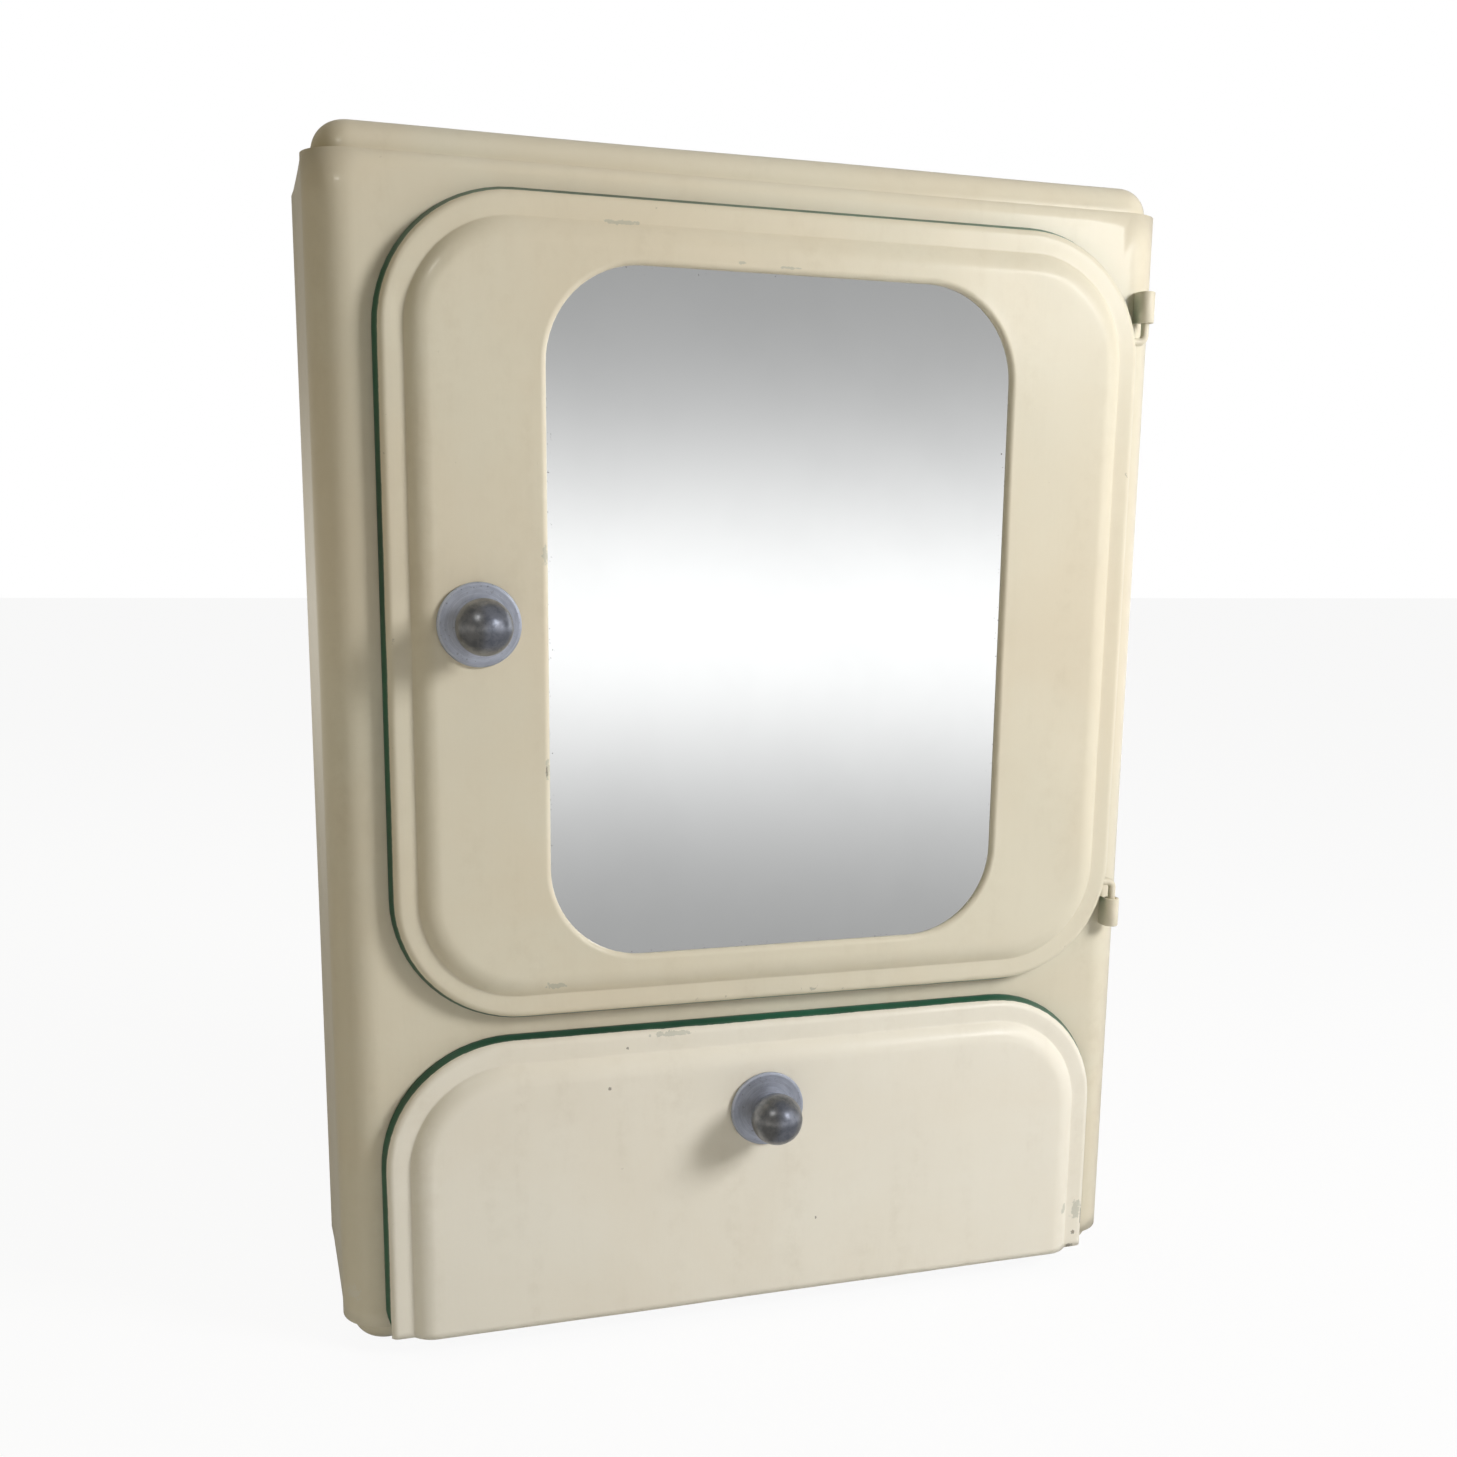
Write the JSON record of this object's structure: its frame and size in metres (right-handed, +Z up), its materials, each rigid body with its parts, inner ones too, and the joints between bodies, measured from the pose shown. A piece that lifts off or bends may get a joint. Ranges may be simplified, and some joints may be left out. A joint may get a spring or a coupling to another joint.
{
  "type": "medicine cabinet with mirror",
  "caption": "Wall-hung pressed steel medicine cabinet with rounded corners, a hinged mirror door with a ball knob, shelves, and a tilting flap with a bin below.",
  "frame": {"origin": "centre of the four wall-screw holes, on the cabinet's back plane, level with the middle of the wrapped shell", "axes": "+X to the right as seen from the front, +Y into the wall, +Z up"},
  "size_m": [0.36, 0.1467, 0.4912],
  "materials": {
    "ivory_enamel": "ivory stove enamel, satin gloss, with small chips and rubbed edges",
    "green_enamel": "dark green enamel, satin gloss, brushed on",
    "knob_aluminium": "turned aluminium, dulled and fine-scratched",
    "rosette_aluminium": "spun aluminium, satin, with circular marks",
    "zinc_steel": "zinc-plated steel, dull",
    "mirror_silver": "silvered glass",
    "backing_board": "brown hardboard",
    "buffer_rubber": "black rubber"
  },
  "bodies": {
    "cabinet": {"cabinet_shell": "ivory_enamel", "top_cap": "ivory_enamel", "base_cap": "ivory_enamel", "back_panel": "ivory_enamel", "divider_shelf": "green_enamel", "shelf_lower": "green_enamel", "shelf_upper": "green_enamel", "shelf_brackets": "green_enamel", "hinge_barrel_upper": "ivory_enamel", "hinge_barrel_lower": "ivory_enamel", "door_catch": "zinc_steel", "door_buffers": "buffer_rubber", "flap_buffers": "buffer_rubber", "pivot_bracket_left": "zinc_steel", "pivot_bracket_right": "zinc_steel"},
    "door": {"door_panel": "ivory_enamel", "mirror_glass": "mirror_silver", "mirror_board": "backing_board", "mirror_clips": "zinc_steel", "hinge_pintle_upper": "ivory_enamel", "hinge_pintle_lower": "ivory_enamel", "door_strike": "zinc_steel", "door_knob": "knob_aluminium", "door_rosette": "rosette_aluminium", "door_knob_nut": "zinc_steel"},
    "flap": {"flap_panel": "ivory_enamel", "bin_tray": "green_enamel", "bin_end_left": "green_enamel", "bin_end_right": "green_enamel", "pivot_pin_left": "zinc_steel", "pivot_pin_right": "zinc_steel", "flap_knob": "knob_aluminium", "flap_rosette": "rosette_aluminium", "flap_knob_nut": "zinc_steel"}
  },
  "joints": [
    {"name": "door_hinge", "type": "hinge", "parent": "cabinet", "child": "door", "pos_m": [0.1687, -0.1144, 0.061], "axis": [0, 0, 1], "range_deg": [0, 110]},
    {"name": "flap_tilt", "type": "hinge", "parent": "cabinet", "child": "flap", "pos_m": [0, -0.1135, -0.228], "axis": [1, 0, 0], "range_deg": [0, 37]}
  ]
}
